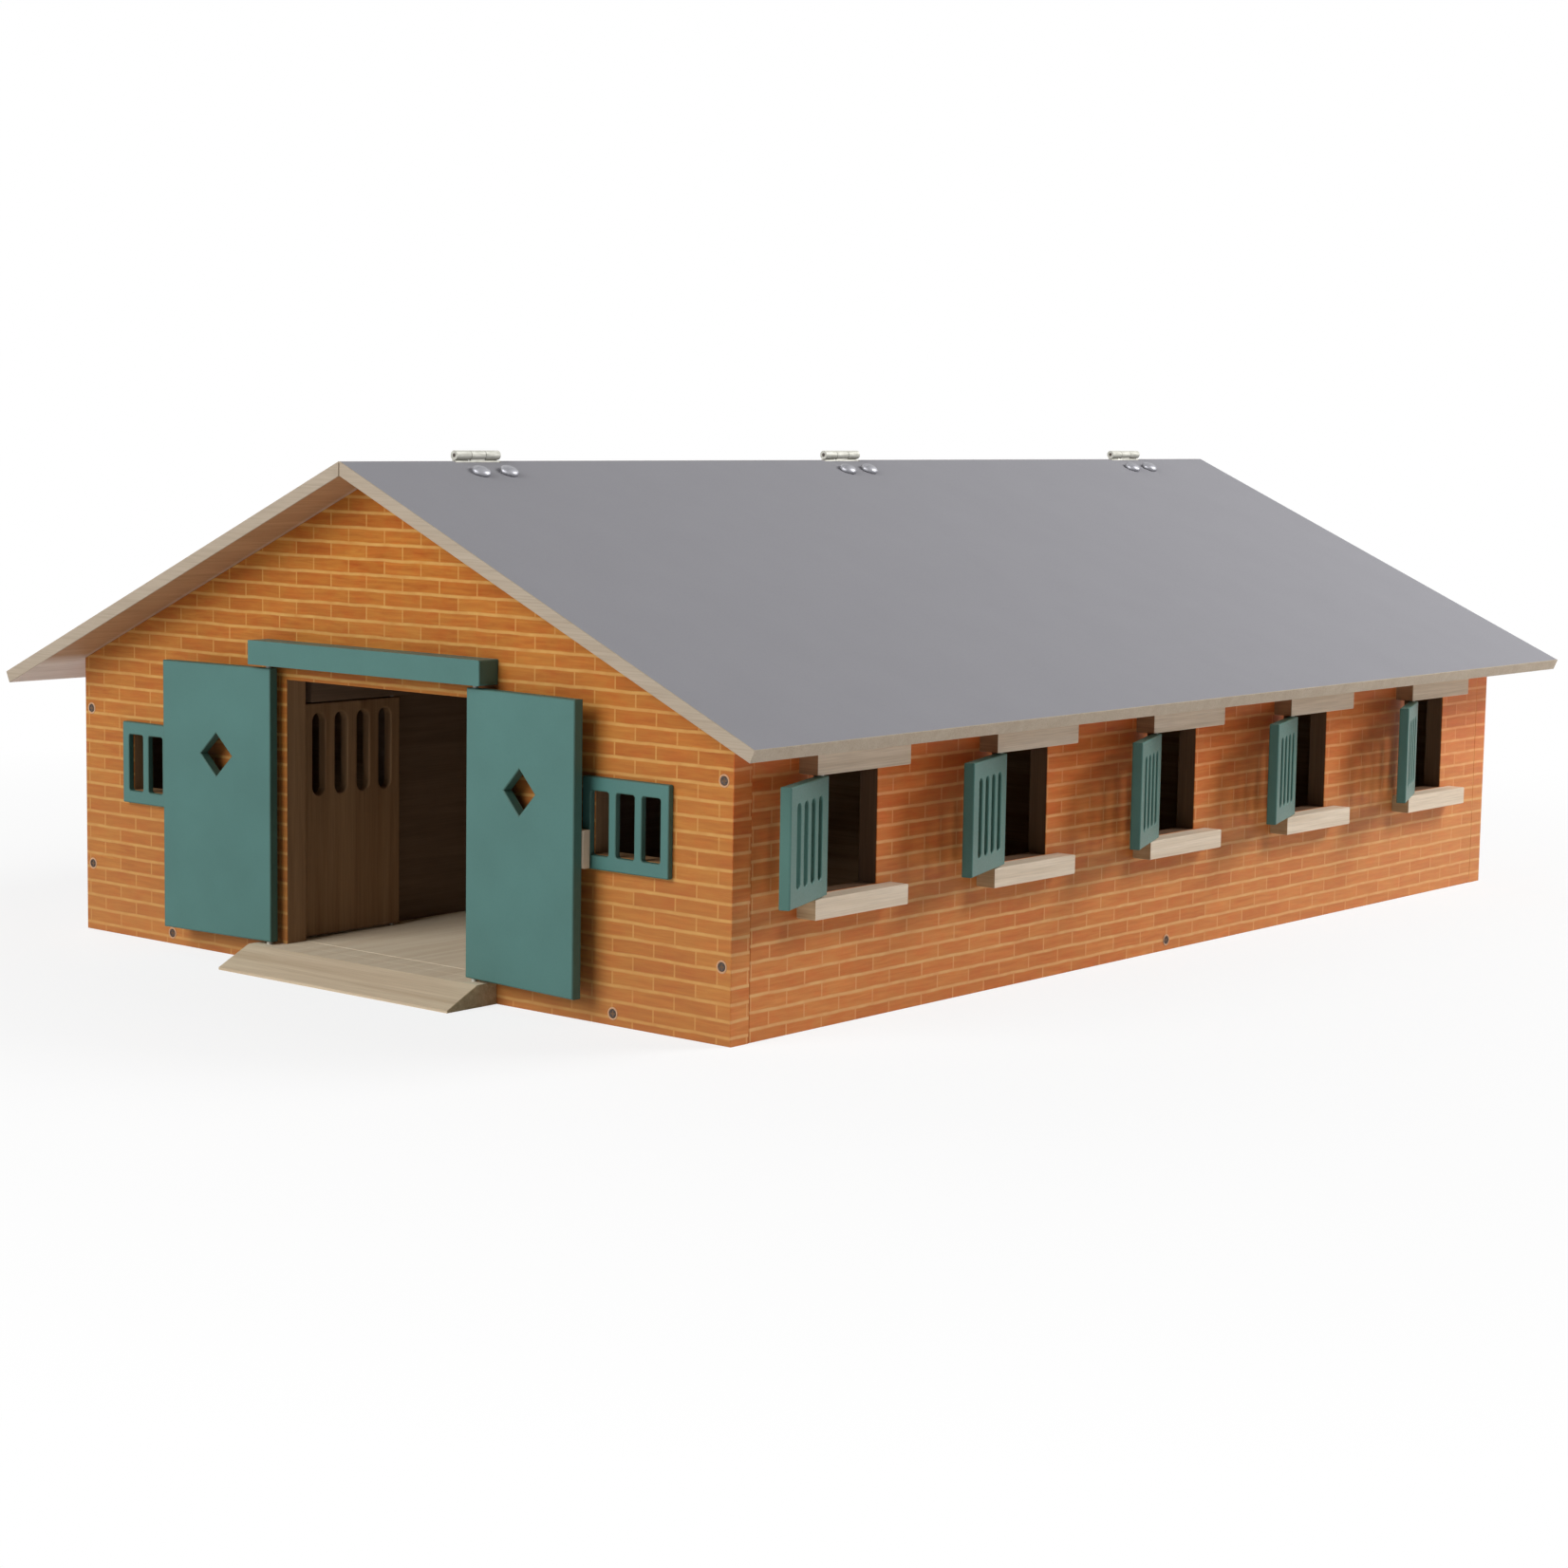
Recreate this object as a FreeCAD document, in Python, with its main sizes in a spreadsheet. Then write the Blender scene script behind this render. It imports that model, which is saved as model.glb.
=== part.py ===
import FreeCAD, Part
import math
import os
import re
import Sketcher

# Toy stable: a gabled box of boards with an aisle, stalls on both sides, pivoting doors and
# shutters, and a roof whose right half folds back on ridge hinges.
# Frame: +Z up, the entrance faces -Y, origin on the ground at the middle of the walls' plan.
# Sizes are in millimetres and degrees.

SIZES = {
    # walls, floor and roof
    "stalls_per_side": 5,
    "stall_pitch": 127.6,
    "end_bay": 73.8,
    "building_width": 420,
    "wall_height": 134.5,
    "roof_pitch": 24.2,
    "gable_thick": 12,
    "wall_thick": 10,
    "floor_thick": 10,
    "roof_thick": 6,
    "eave_overhang": 31,
    "gable_overhang": 24,
    "ridge_gap": 0.6,
    "wall_top_gap": 0.5,
    # entrance: doors on rods between the rail and the ramp
    "doorway_width": 124,
    "doorway_height": 123.5,
    "door_width": 70,
    "door_height": 127.5,
    "door_thick": 5,
    "door_meet_gap": 1.2,
    "door_gap": 1.5,
    "door_rod_inset": 3.2,
    "door_rod_dia": 2.4,
    "door_rod_seat": 6,
    "door_rest_angle": 4.6,
    "diamond_size": 20,
    "diamond_rise": 85,
    "handle_width": 9,
    "handle_height": 16.5,
    "handle_depth": 5,
    "handle_bevel": 1.2,
    "rail_depth": 12,
    "rail_height": 11.2,
    "rail_end": 8,
    "ramp_reach": 30,
    "ramp_toe": 1.2,
    # barred windows beside the entrance
    "front_window_corner": 57,
    "front_window_rise": 86.2,
    "front_window_width": 49,
    "front_window_height": 39.5,
    "front_window_thick": 3,
    "front_slots": 3,
    "front_slot_width": 10.4,
    "front_slot_height": 27.4,
    "front_slot_pitch": 14.6,
    "front_slot_bevel": 1.2,
    # side windows: shutters on rods between the lintel and the sill
    "window_width": 44,
    "window_height": 52,
    "sill_rise": 58,
    "sill_length": 63.6,
    "sill_height": 9,
    "sill_depth": 10,
    "lintel_height": 12,
    "shutter_width": 47,
    "shutter_thick": 5,
    "shutter_gap": 0.8,
    "shutter_rod_inset": 2.6,
    "shutter_pivot_back": 25.5,
    "shutter_pivot_edge": 3,
    "shutter_1_rest_angle": 20,
    "shutter_2_rest_angle": 18,
    "shutter_3_rest_angle": 22,
    "shutter_4_rest_angle": 19,
    "shutter_5_rest_angle": 22.5,
    "shutter_slots": 4,
    "shutter_slot_width": 4.5,
    "shutter_slot_length": 35.4,
    "shutter_slot_pitch": 9,
    # stalls along the aisle
    "aisle_width": 145,
    "stall_front_thick": 6,
    "stall_front_height": 124,
    "stall_opening_width": 54,
    "stall_front_head": 15,
    "stall_door_width": 61.5,
    "stall_door_thick": 5,
    "stall_door_gap": 1,
    "stall_door_rod_inset": 3,
    "stall_pivot_forward": 1.8,
    "stall_pivot_stand": 4.5,
    "stall_slots": 4,
    "stall_slot_width": 8,
    "stall_slot_length": 39,
    "stall_slot_pitch": 14,
    "stall_slot_drop": 24,
    "batten_length": 62,
    "batten_height": 12,
    "batten_depth": 10,
    "batten_end": 5.8,
    "partition_thick": 6,
    "partition_height": 100,
    # pivot rods of shutters and stall doors, and the fit of all rods
    "rod_dia": 2,
    "rod_seat": 5,
    "rod_clear": 0.03,
    "bore_sides": 10,
    # ridge hinges
    "hinge_count": 3,
    "hinge_end": 48.5,
    "hinge_length": 28,
    "barrel_dia": 4.4,
    "barrel_rise": 2.4,
    "centre_knuckle": 9,
    "knuckle_gap": 0.3,
    "hinge_pin_dia": 1.8,
    "hinge_pin_clear": 0.05,
    "leaf_thick": 1,
    "leaf_gap": 0.5,
    "leaf_reach": 20,
    "notch_clear": 0.2,
}

# Formulas of the sizes above that several pieces share.
LENGTH = "((stalls_per_side - 1) * stall_pitch + 2 * end_bay)"
FRONT = f"(-{LENGTH} / 2)"
BACK = f"({LENGTH} / 2)"
INNER_HALF_LENGTH = f"({LENGTH} / 2 - gable_thick)"
INNER_HALF_WIDTH = "(building_width / 2 - wall_thick)"
RIDGE_LOW = "(wall_height + building_width / 2 * tan(roof_pitch))"
RIDGE_TOP = f"({RIDGE_LOW} + roof_thick / cos(roof_pitch))"
EAVE = "(building_width / 2 + eave_overhang)"
HINGE_AXIS = f"({RIDGE_TOP} + barrel_rise)"
HINGE_SPACING = f"(2 * ({INNER_HALF_LENGTH} - hinge_end) / (hinge_count - 1))"
DOOR_PIVOT_X = "(door_width - door_rod_inset + door_meet_gap / 2)"
DOOR_PIVOT_Y = f"({FRONT} - rail_depth / 2)"
DOOR_LOW = "(floor_thick + door_gap)"
RAIL_LOW = "(floor_thick + 2 * door_gap + door_height)"
RAIL_LENGTH = f"(2 * ({DOOR_PIVOT_X} + rail_end))"
FRONT_WINDOW_X = "(building_width / 2 - front_window_corner)"
FRONT_OPENING = "((front_slots - 1) * front_slot_pitch + front_slot_width)"
LINTEL_LOW = "(sill_rise + window_height)"
SHUTTER_PIVOT_X = "(building_width / 2 + sill_depth - shutter_pivot_edge)"
SHUTTER_HEIGHT = "(window_height - 2 * shutter_gap)"
STALL_PIVOT_X = "(aisle_width / 2 - stall_pivot_stand)"
STALL_DOOR_LOW = "(floor_thick + stall_door_gap)"
BATTEN_LOW = "(floor_thick + stall_front_height - batten_height)"
STALL_DOOR_HEIGHT = "(stall_front_height - batten_height - 2 * stall_door_gap)"

X_AXIS = FreeCAD.Vector(1, 0, 0)
Y_AXIS = FreeCAD.Vector(0, 1, 0)
Z_AXIS = FreeCAD.Vector(0, 0, 1)
SIDES = (("left", -1), ("right", 1))
WORD = re.compile(r"[a-z_]+[a-z_0-9]*")

doc = FreeCAD.newDocument("toy_stable")
sheet = doc.addObject("Spreadsheet::Sheet", "sizes")
for row, (alias, value) in enumerate(SIZES.items(), 1):
    sheet.set(f"A{row}", alias)
    sheet.set(f"B{row}", str(value))
    sheet.setAlias(f"B{row}", alias)
doc.recompute()
nodes = []


def bind(owner, prop, formula):
    """Tie one property to a formula of the sheet's sizes."""
    owner.setExpression(prop, WORD.sub(lambda m: f"sizes.{m[0]}" if m[0] in SIZES else m[0], str(formula)))


def place(thing, x=0, y=0, z=0, turn=None, axis=Z_AXIS):
    """Bind an object's place and, where given, its turn about an axis."""
    if turn is not None:
        thing.Placement = FreeCAD.Placement(FreeCAD.Vector(), FreeCAD.Rotation(axis, 1))
        bind(thing, "Placement.Rotation.Angle", turn)
    for letter, formula in (("x", x), ("y", y), ("z", z)):
        bind(thing, f"Placement.Base.{letter}", formula)
    return thing


def node(thing, label):
    """Name a finished sub-part and list it for export."""
    thing.Label = label
    nodes.append(thing)
    return thing


def box(name, x, y, z):
    """A block from three pairs of low and high formulas."""
    block = doc.addObject("Part::Box", name)
    for prop, (low, high) in (("Length", x), ("Width", y), ("Height", z)):
        bind(block, prop, f"({high}) - ({low})")
    return place(block, x[0], y[0], z[0])


def cylinder(name, radius, length, x=0, y=0, z=0, turn=None, axis=Z_AXIS):
    rod = doc.addObject("Part::Cylinder", name)
    bind(rod, "Radius", radius)
    bind(rod, "Height", length)
    return place(rod, x, y, z, turn, axis)


def sided_rod(name, radius, length, x, y, z):
    """The space of an upright bore with flat sides."""
    rod = doc.addObject("Part::Prism", name)
    bind(rod, "Polygon", "bore_sides")
    bind(rod, "Circumradius", radius)
    bind(rod, "Height", length)
    return place(rod, x, y, z)


def group(name, members):
    bundle = doc.addObject("Part::Compound", name)
    bundle.Links = members
    return bundle


def copy_of(source, name, **where):
    """One more of a piece, at a place of its own."""
    return place(group(name, [source]), **where)


def cut(name, base, tool):
    trimmed = doc.addObject("Part::Cut", name)
    trimmed.Base = base
    trimmed.Tool = tool
    return trimmed


def fuse(name, members):
    joined = doc.addObject("Part::MultiFuse", name)
    joined.Shapes = members
    return joined


def origin_feature(body, role):
    return next(f for f in body.Origin.OriginFeatures if f.Role == role)


def sketch_on(body, name, plane):
    sketch = body.newObject("Sketcher::SketchObject", name)
    sketch.AttachmentSupport = (origin_feature(body, plane), [""])
    sketch.MapMode = "FlatFace"
    return sketch


def pin_point(sketch, geometry, vertex, x, y):
    for kind, formula in (("DistanceX", x), ("DistanceY", y)):
        index = sketch.addConstraint(Sketcher.Constraint(kind, geometry, vertex, 1.0))
        bind(sketch, f"Constraints[{index}]", formula)


def polygon(sketch, corners):
    """A closed outline whose corners are bound to formulas."""
    count = len(corners)
    first = sketch.GeometryCount
    turns = [2 * math.pi * i / count for i in range(count)]
    spots = [FreeCAD.Vector(math.cos(t), math.sin(t), 0) for t in turns]
    for i in range(count):
        sketch.addGeometry(Part.LineSegment(spots[i], spots[(i + 1) % count]))
    for i in range(count):
        sketch.addConstraint(Sketcher.Constraint("Coincident", first + i, 2, first + (i + 1) % count, 1))
    for i, (x, y) in enumerate(corners):
        pin_point(sketch, first + i, 1, x, y)


def rectangle(sketch, x, y):
    polygon(sketch, [(x[0], y[0]), (x[1], y[0]), (x[1], y[1]), (x[0], y[1])])


def eight_sided(sketch, x, y, width, height, bevel):
    """An upright slot or window light with bevelled corners."""
    left, right = centred(x, width)
    low, high = centred(y, height)
    polygon(sketch, [
        (f"{left} + {bevel}", low),
        (f"{right} - {bevel}", low),
        (right, f"{low} + {bevel}"),
        (right, f"{high} - {bevel}"),
        (f"{right} - {bevel}", high),
        (f"{left} + {bevel}", high),
        (left, f"{high} - {bevel}"),
        (left, f"{low} + {bevel}"),
    ])


def pad(body, sketch, length, symmetric=False):
    feature = body.newObject("PartDesign::Pad", sketch.Name + "_pad")
    feature.Profile = sketch
    feature.SideType = "Symmetric" if symmetric else "One side"
    bind(feature, "Length", length)
    return feature


def pocket(body, sketch):
    """Cut a sketch right through the body."""
    feature = body.newObject("PartDesign::Pocket", sketch.Name + "_pocket")
    feature.Profile = sketch
    feature.Type = "ThroughAll"
    feature.SideType = "Symmetric"
    return feature


def row_of(body, features, axis, count, pitch):
    pattern = body.newObject("PartDesign::LinearPattern", body.Name + "_row")
    pattern.Originals = features
    pattern.Direction = (origin_feature(body, axis), [""])
    bind(pattern, "Occurrences", count)
    bind(pattern, "Length", f"({count} - 1) * {pitch}")
    body.Tip = pattern
    return pattern


def centred(middle, width):
    return (f"{middle} - {width} / 2", f"{middle} + {width} / 2")


def stall_middle(index):
    """Middle of a stall, which is also the middle of its window, along Y."""
    return f"({index} - (stalls_per_side - 1) / 2) * stall_pitch"


STALLS = range(SIZES["stalls_per_side"])
HINGE_MIDDLES = [f"({i} - (hinge_count - 1) / 2) * {HINGE_SPACING}" for i in range(SIZES["hinge_count"])]


# Pivot rods, which run through the leaves into the pieces below and above, and their bores.
# The bores have flat sides that stay clear of the round rod by rod_clear.

def bore_radius(dia):
    return f"(({dia} / 2 + rod_clear) / cos(180 / bore_sides))"


def pivot_rod(name, x, y, low, high, dia, seat):
    """A rod seated below low and above high, and the space of its bore."""
    where = {"x": x, "y": y, "z": f"{low} - {seat}"}
    length = f"{high} - {low} + 2 * {seat}"
    rod = cylinder(name + "_rod", f"{dia} / 2", length, **where)
    return rod, sided_rod(name + "_bore", bore_radius(dia), length, **where)


door_pivots, shutter_pivots, stall_pivots = [], [], []
for side_name, side in SIDES:
    door_pivots.append(pivot_rod(f"{side_name}_door", f"{side} * {DOOR_PIVOT_X}", DOOR_PIVOT_Y, "floor_thick",
                                 RAIL_LOW, "door_rod_dia", "door_rod_seat"))
    for i in STALLS:
        shutter_pivots.append(pivot_rod(f"{side_name}_shutter_{i}", f"{side} * {SHUTTER_PIVOT_X}",
                                        f"{stall_middle(i)} - shutter_pivot_back", "sill_rise", LINTEL_LOW,
                                        "rod_dia", "rod_seat"))
        stall_pivots.append(pivot_rod(f"{side_name}_stall_{i}", f"{side} * {STALL_PIVOT_X}",
                                      f"{stall_middle(i)} - stall_pivot_forward", "floor_thick", BATTEN_LOW,
                                      "rod_dia", "rod_seat"))
for label, pivots in (("door", door_pivots), ("shutter", shutter_pivots), ("stall_door", stall_pivots)):
    node(group(f"{label}_pivot_rods", [rod for rod, _ in pivots]), f"{label}_pivot_rods")
door_bores = group("door_bores", [bore for _, bore in door_pivots])
shutter_bores = group("shutter_bores", [bore for _, bore in shutter_pivots])
stall_bores = group("stall_bores", [bore for _, bore in stall_pivots])


# Floor, gables and side walls.

floor_board = box("floor_board", (f"-{INNER_HALF_WIDTH}", INNER_HALF_WIDTH),
                  (f"-{INNER_HALF_LENGTH}", INNER_HALF_LENGTH), (0, "floor_thick"))
node(cut("floor", floor_board, stall_bores), "base_floor")


def gable(name, outer_face, entrance):
    """A gable board; the front one has the doorway and the openings behind the barred windows."""
    body = doc.addObject("PartDesign::Body", name)
    sketch = sketch_on(body, name + "_outline", "XZ_Plane")
    half = "building_width / 2"
    polygon(sketch, [(f"-{half}", 0), (half, 0), (half, "wall_height"), (0, RIDGE_LOW),
                     (f"-{half}", "wall_height")])
    if entrance:
        rectangle(sketch, ("-doorway_width / 2", "doorway_width / 2"),
                  ("floor_thick", "floor_thick + doorway_height"))
        for _, side in SIDES:
            rectangle(sketch, centred(f"{side} * {FRONT_WINDOW_X}", FRONT_OPENING),
                      centred("front_window_rise", "front_slot_height"))
    pad(body, sketch, "gable_thick")
    node(place(body, y=f"{outer_face} + gable_thick" if entrance else outer_face), name)


gable("front_gable", FRONT, True)
gable("rear_gable", BACK, False)


def pierced_board(name, x, thick, z, opening_width, opening_z, first_middle):
    """An upright board along the building with one opening for each stall."""
    body = doc.addObject("PartDesign::Body", name)
    outline = sketch_on(body, name + "_outline", "YZ_Plane")
    rectangle(outline, (f"-{INNER_HALF_LENGTH}", INNER_HALF_LENGTH), z)
    pad(body, outline, thick)
    opening = sketch_on(body, name + "_opening", "YZ_Plane")
    rectangle(opening, centred(first_middle, opening_width), opening_z)
    row_of(body, [pocket(body, opening)], "Y_Axis", "stalls_per_side", "stall_pitch")
    return place(body, x=x)


for side_name, side in SIDES:
    outer = "building_width / 2 - wall_thick" if side > 0 else "-building_width / 2"
    wall = pierced_board(f"{side_name}_wall", outer, "wall_thick", (0, "wall_height - wall_top_gap"),
                         "window_width", ("sill_rise", LINTEL_LOW), stall_middle(0))
    node(wall, f"{side_name}_wall")


# Window sills and lintels, each with the bore of its shutter's rod.

def window_blocks(side_name, side, kind, z):
    wall_face = f"{side} * building_width / 2"
    edge = f"{side} * (building_width / 2 + sill_depth)"
    x = (wall_face, edge) if side > 0 else (edge, wall_face)
    blocks = [box(f"{side_name}_{kind}_{i}", x, centred(stall_middle(i), "sill_length"), z) for i in STALLS]
    label = f"{side_name}_window_{kind}s"
    node(cut(label, group(label + "_plain", blocks), shutter_bores), label)


for side_name, side in SIDES:
    window_blocks(side_name, side, "sill", ("sill_rise - sill_height", "sill_rise"))
    window_blocks(side_name, side, "lintel", (LINTEL_LOW, f"{LINTEL_LOW} + lintel_height"))


# Door rail and entrance ramp, which carry the door rods.

half_rail = f"{RAIL_LENGTH} / 2"
rail_block = box("rail_block", (f"-{half_rail}", half_rail), (f"{FRONT} - rail_depth", FRONT),
                 (RAIL_LOW, f"{RAIL_LOW} + rail_height"))
node(cut("rail", rail_block, door_bores), "door_rail")

ramp_body = doc.addObject("PartDesign::Body", "ramp_body")
ramp_profile = sketch_on(ramp_body, "ramp_profile", "YZ_Plane")
polygon(ramp_profile, [
    (FRONT, 0),
    (FRONT, "floor_thick"),
    (f"{FRONT} - rail_depth", "floor_thick"),
    (f"{FRONT} - ramp_reach", "ramp_toe"),
    (f"{FRONT} - ramp_reach", 0),
])
pad(ramp_body, ramp_profile, RAIL_LENGTH, symmetric=True)
node(cut("ramp", ramp_body, door_bores), "entrance_ramp")


# Leaves: each stands on Z with its pivot at the origin and runs along +X to its free edge.

def pivot_bore(body, dia):
    sketch = sketch_on(body, body.Name + "_bore", "XY_Plane")
    radius = bore_radius(dia)
    turns = [f"{i} * 360 / bore_sides" for i in range(SIZES["bore_sides"])]
    polygon(sketch, [(f"{radius} * cos({turn})", f"{radius} * sin({turn})") for turn in turns])
    body.Tip = pocket(body, sketch)


def slotted_leaf(name, width, height, thick, inset, slots, slot_rise):
    """A leaf with a row of upright slots, their ends half octagons, bored for its pivot rod."""
    body = doc.addObject("PartDesign::Body", name)
    outline = sketch_on(body, name + "_outline", "XZ_Plane")
    rectangle(outline, (f"-{inset}", f"{width} - {inset}"), (0, height))
    pad(body, outline, thick, symmetric=True)
    first = f"{width} / 2 - {inset} - ({slots}_slots - 1) / 2 * {slots}_slot_pitch"
    slot = sketch_on(body, name + "_slot", "XZ_Plane")
    eight_sided(slot, first, slot_rise, f"{slots}_slot_width", f"{slots}_slot_length",
                f"({slots}_slot_width * (1 - sqrt(0.5)))")
    row_of(body, [pocket(body, slot)], "X_Axis", f"{slots}_slots", f"{slots}_slot_pitch")
    pivot_bore(body, "rod_dia")
    return body


shutter_leaf = slotted_leaf("shutter_leaf", "shutter_width", SHUTTER_HEIGHT, "shutter_thick",
                            "shutter_rod_inset", "shutter", f"{SHUTTER_HEIGHT} / 2")
stall_leaf = slotted_leaf("stall_leaf", "stall_door_width", STALL_DOOR_HEIGHT, "stall_door_thick",
                          "stall_door_rod_inset", "stall", f"{STALL_DOOR_HEIGHT} - stall_slot_drop")
# The right shutters stand open, each at its own angle to the wall; the left ones are closed.
for side_name, side in SIDES:
    for i in STALLS:
        label = f"{side_name}_shutter_{i + 1}"
        node(copy_of(shutter_leaf, label, x=f"{side} * {SHUTTER_PIVOT_X}",
                     y=f"{stall_middle(i)} - shutter_pivot_back", z="sill_rise + shutter_gap",
                     turn=f"270 + shutter_{i % 5 + 1}_rest_angle" if side > 0 else 90), label)
        label = f"{side_name}_stall_door_{i + 1}"
        node(copy_of(stall_leaf, label, x=f"{side} * {STALL_PIVOT_X}",
                     y=f"{stall_middle(i)} - stall_pivot_forward", z=STALL_DOOR_LOW, turn=270), label)


# Entrance doors with a diamond cut-out, and their handles on the outer faces.

door_leaf = doc.addObject("PartDesign::Body", "door_leaf")
door_outline = sketch_on(door_leaf, "door_outline", "XZ_Plane")
rectangle(door_outline, ("-door_rod_inset", "door_width - door_rod_inset"), (0, "door_height"))
middle, reach = "door_width / 2 - door_rod_inset", "diamond_size / 2"
polygon(door_outline, [(f"{middle} - {reach}", "diamond_rise"), (middle, f"diamond_rise - {reach}"),
                       (f"{middle} + {reach}", "diamond_rise"), (middle, f"diamond_rise + {reach}")])
pad(door_leaf, door_outline, "door_thick", symmetric=True)
pivot_bore(door_leaf, "door_rod_dia")

handle_body = doc.addObject("PartDesign::Body", "handle_body")
handle_outline = sketch_on(handle_body, "handle_outline", "XZ_Plane")
free_edge = "door_width - door_rod_inset"
rectangle(handle_outline, (f"{free_edge} - handle_width", free_edge),
          centred("door_height / 2", "handle_height"))
handle_pad = pad(handle_body, handle_outline, "handle_depth")
doc.recompute()
handle_face = min(handle_pad.Shape.Faces, key=lambda face: face.CenterOfMass.y)
handle_rim = [f"Edge{i}" for i, edge in enumerate(handle_pad.Shape.Edges, 1)
              if any(edge.isSame(rim) for rim in handle_face.Edges)]
handle_edge = handle_body.newObject("PartDesign::Chamfer", "handle_edge")
handle_edge.Base = (handle_pad, handle_rim)
bind(handle_edge, "Size", "handle_bevel")
place(handle_body, y="-door_thick / 2")

for side_name, side in SIDES:
    turn = "360 - door_rest_angle" if side > 0 else "180 + door_rest_angle"
    pivot = {"x": f"{side} * {DOOR_PIVOT_X}", "y": DOOR_PIVOT_Y, "turn": turn}
    node(copy_of(door_leaf, f"{side_name}_door", z=DOOR_LOW, **pivot), f"{side_name}_door")
    handle = handle_body
    if side > 0:
        handle = doc.addObject("Part::Mirroring", "right_handle")
        handle.Source = handle_body
        handle.Normal = Y_AXIS
    node(copy_of(handle, f"{side_name}_door_handle", z=DOOR_LOW, **pivot), f"{side_name}_door_handle")


# Barred windows beside the entrance.

def front_window(side_name, side):
    name = f"{side_name}_front_window"
    body = doc.addObject("PartDesign::Body", name)
    outline = sketch_on(body, name + "_outline", "XZ_Plane")
    rectangle(outline, centred(0, "front_window_width"), centred(0, "front_window_height"))
    pad(body, outline, "front_window_thick")
    slot = sketch_on(body, name + "_slot", "XZ_Plane")
    first = "-(front_slots - 1) / 2 * front_slot_pitch"
    eight_sided(slot, first, 0, "front_slot_width", "front_slot_height", "front_slot_bevel")
    row_of(body, [pocket(body, slot)], "X_Axis", "front_slots", "front_slot_pitch")
    node(place(body, f"{side} * {FRONT_WINDOW_X}", FRONT, "front_window_rise"), name)


for side_name, side in SIDES:
    front_window(side_name, side)


# Stall fronts along the aisle, the battens over their doors and the partitions between stalls.

for side_name, side in SIDES:
    inner = "aisle_width / 2" if side > 0 else "-aisle_width / 2 - stall_front_thick"
    door_middle = f"({stall_middle(0)} - stall_pivot_forward + stall_door_rod_inset - stall_door_width / 2)"
    front = pierced_board(f"{side_name}_stall_front", inner, "stall_front_thick",
                          ("floor_thick", "floor_thick + stall_front_height"), "stall_opening_width",
                          ("floor_thick", "floor_thick + stall_front_height - stall_front_head"),
                          door_middle)
    node(front, f"{side_name}_stall_front")

    face, edge = f"{side} * aisle_width / 2", f"{side} * (aisle_width / 2 - batten_depth)"
    depth = (edge, face) if side > 0 else (face, edge)
    battens = []
    for i in STALLS:
        end = f"{stall_middle(i)} - stall_pivot_forward + batten_end"
        battens.append(box(f"{side_name}_batten_{i}", depth, (f"{end} - batten_length", end),
                           (BATTEN_LOW, f"{BATTEN_LOW} + batten_height")))
    label = f"{side_name}_stall_battens"
    node(cut(label, group(label + "_plain", battens), stall_bores), label)

    near, far = f"{side} * (aisle_width / 2 + stall_front_thick)", f"{side} * {INNER_HALF_WIDTH}"
    span = (near, far) if side > 0 else (far, near)
    for i in STALLS[1:]:
        between = f"({stall_middle(i)} - stall_pitch / 2)"
        label = f"{side_name}_partition_{i}"
        node(box(label, span, centred(between, "partition_thick"),
                 ("floor_thick", "floor_thick + partition_height")), label)


# Roof: two mitred boards that meet over the ridge, joined by three hinges.

notch_half = "(leaf_gap / 2 + leaf_thick + notch_clear)"
notches = group("hinge_notches", [
    box(f"notch_{i}", (f"-{notch_half}", notch_half), centred(hinge, "(hinge_length + 2 * notch_clear)"),
        (f"{RIDGE_LOW} - roof_thick", f"{RIDGE_TOP} + roof_thick"))
    for i, hinge in enumerate(HINGE_MIDDLES)])


def roof_panel(side_name, side):
    """A roof board in its own plane, mitred upright at the ridge and square at the eave."""
    body = doc.addObject("PartDesign::Body", f"{side_name}_roof_board")
    sketch = sketch_on(body, f"{side_name}_roof_profile", "XZ_Plane")
    ridge, eave = "ridge_gap / 2 / cos(roof_pitch)", f"{EAVE} / cos(roof_pitch)"
    polygon(sketch, [
        (f"{side} * {ridge}", 0),
        (f"{side} * {eave}", 0),
        (f"{side} * {eave}", "-roof_thick"),
        (f"{side} * ({ridge} + roof_thick * tan(roof_pitch))", "-roof_thick"),
    ])
    pad(body, sketch, f"{LENGTH} + 2 * gable_overhang", symmetric=True)
    place(body, z=RIDGE_TOP, turn="roof_pitch", axis=side * Y_AXIS)
    label = f"{side_name}_roof_panel"
    node(cut(label, body, notches), label)


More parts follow.
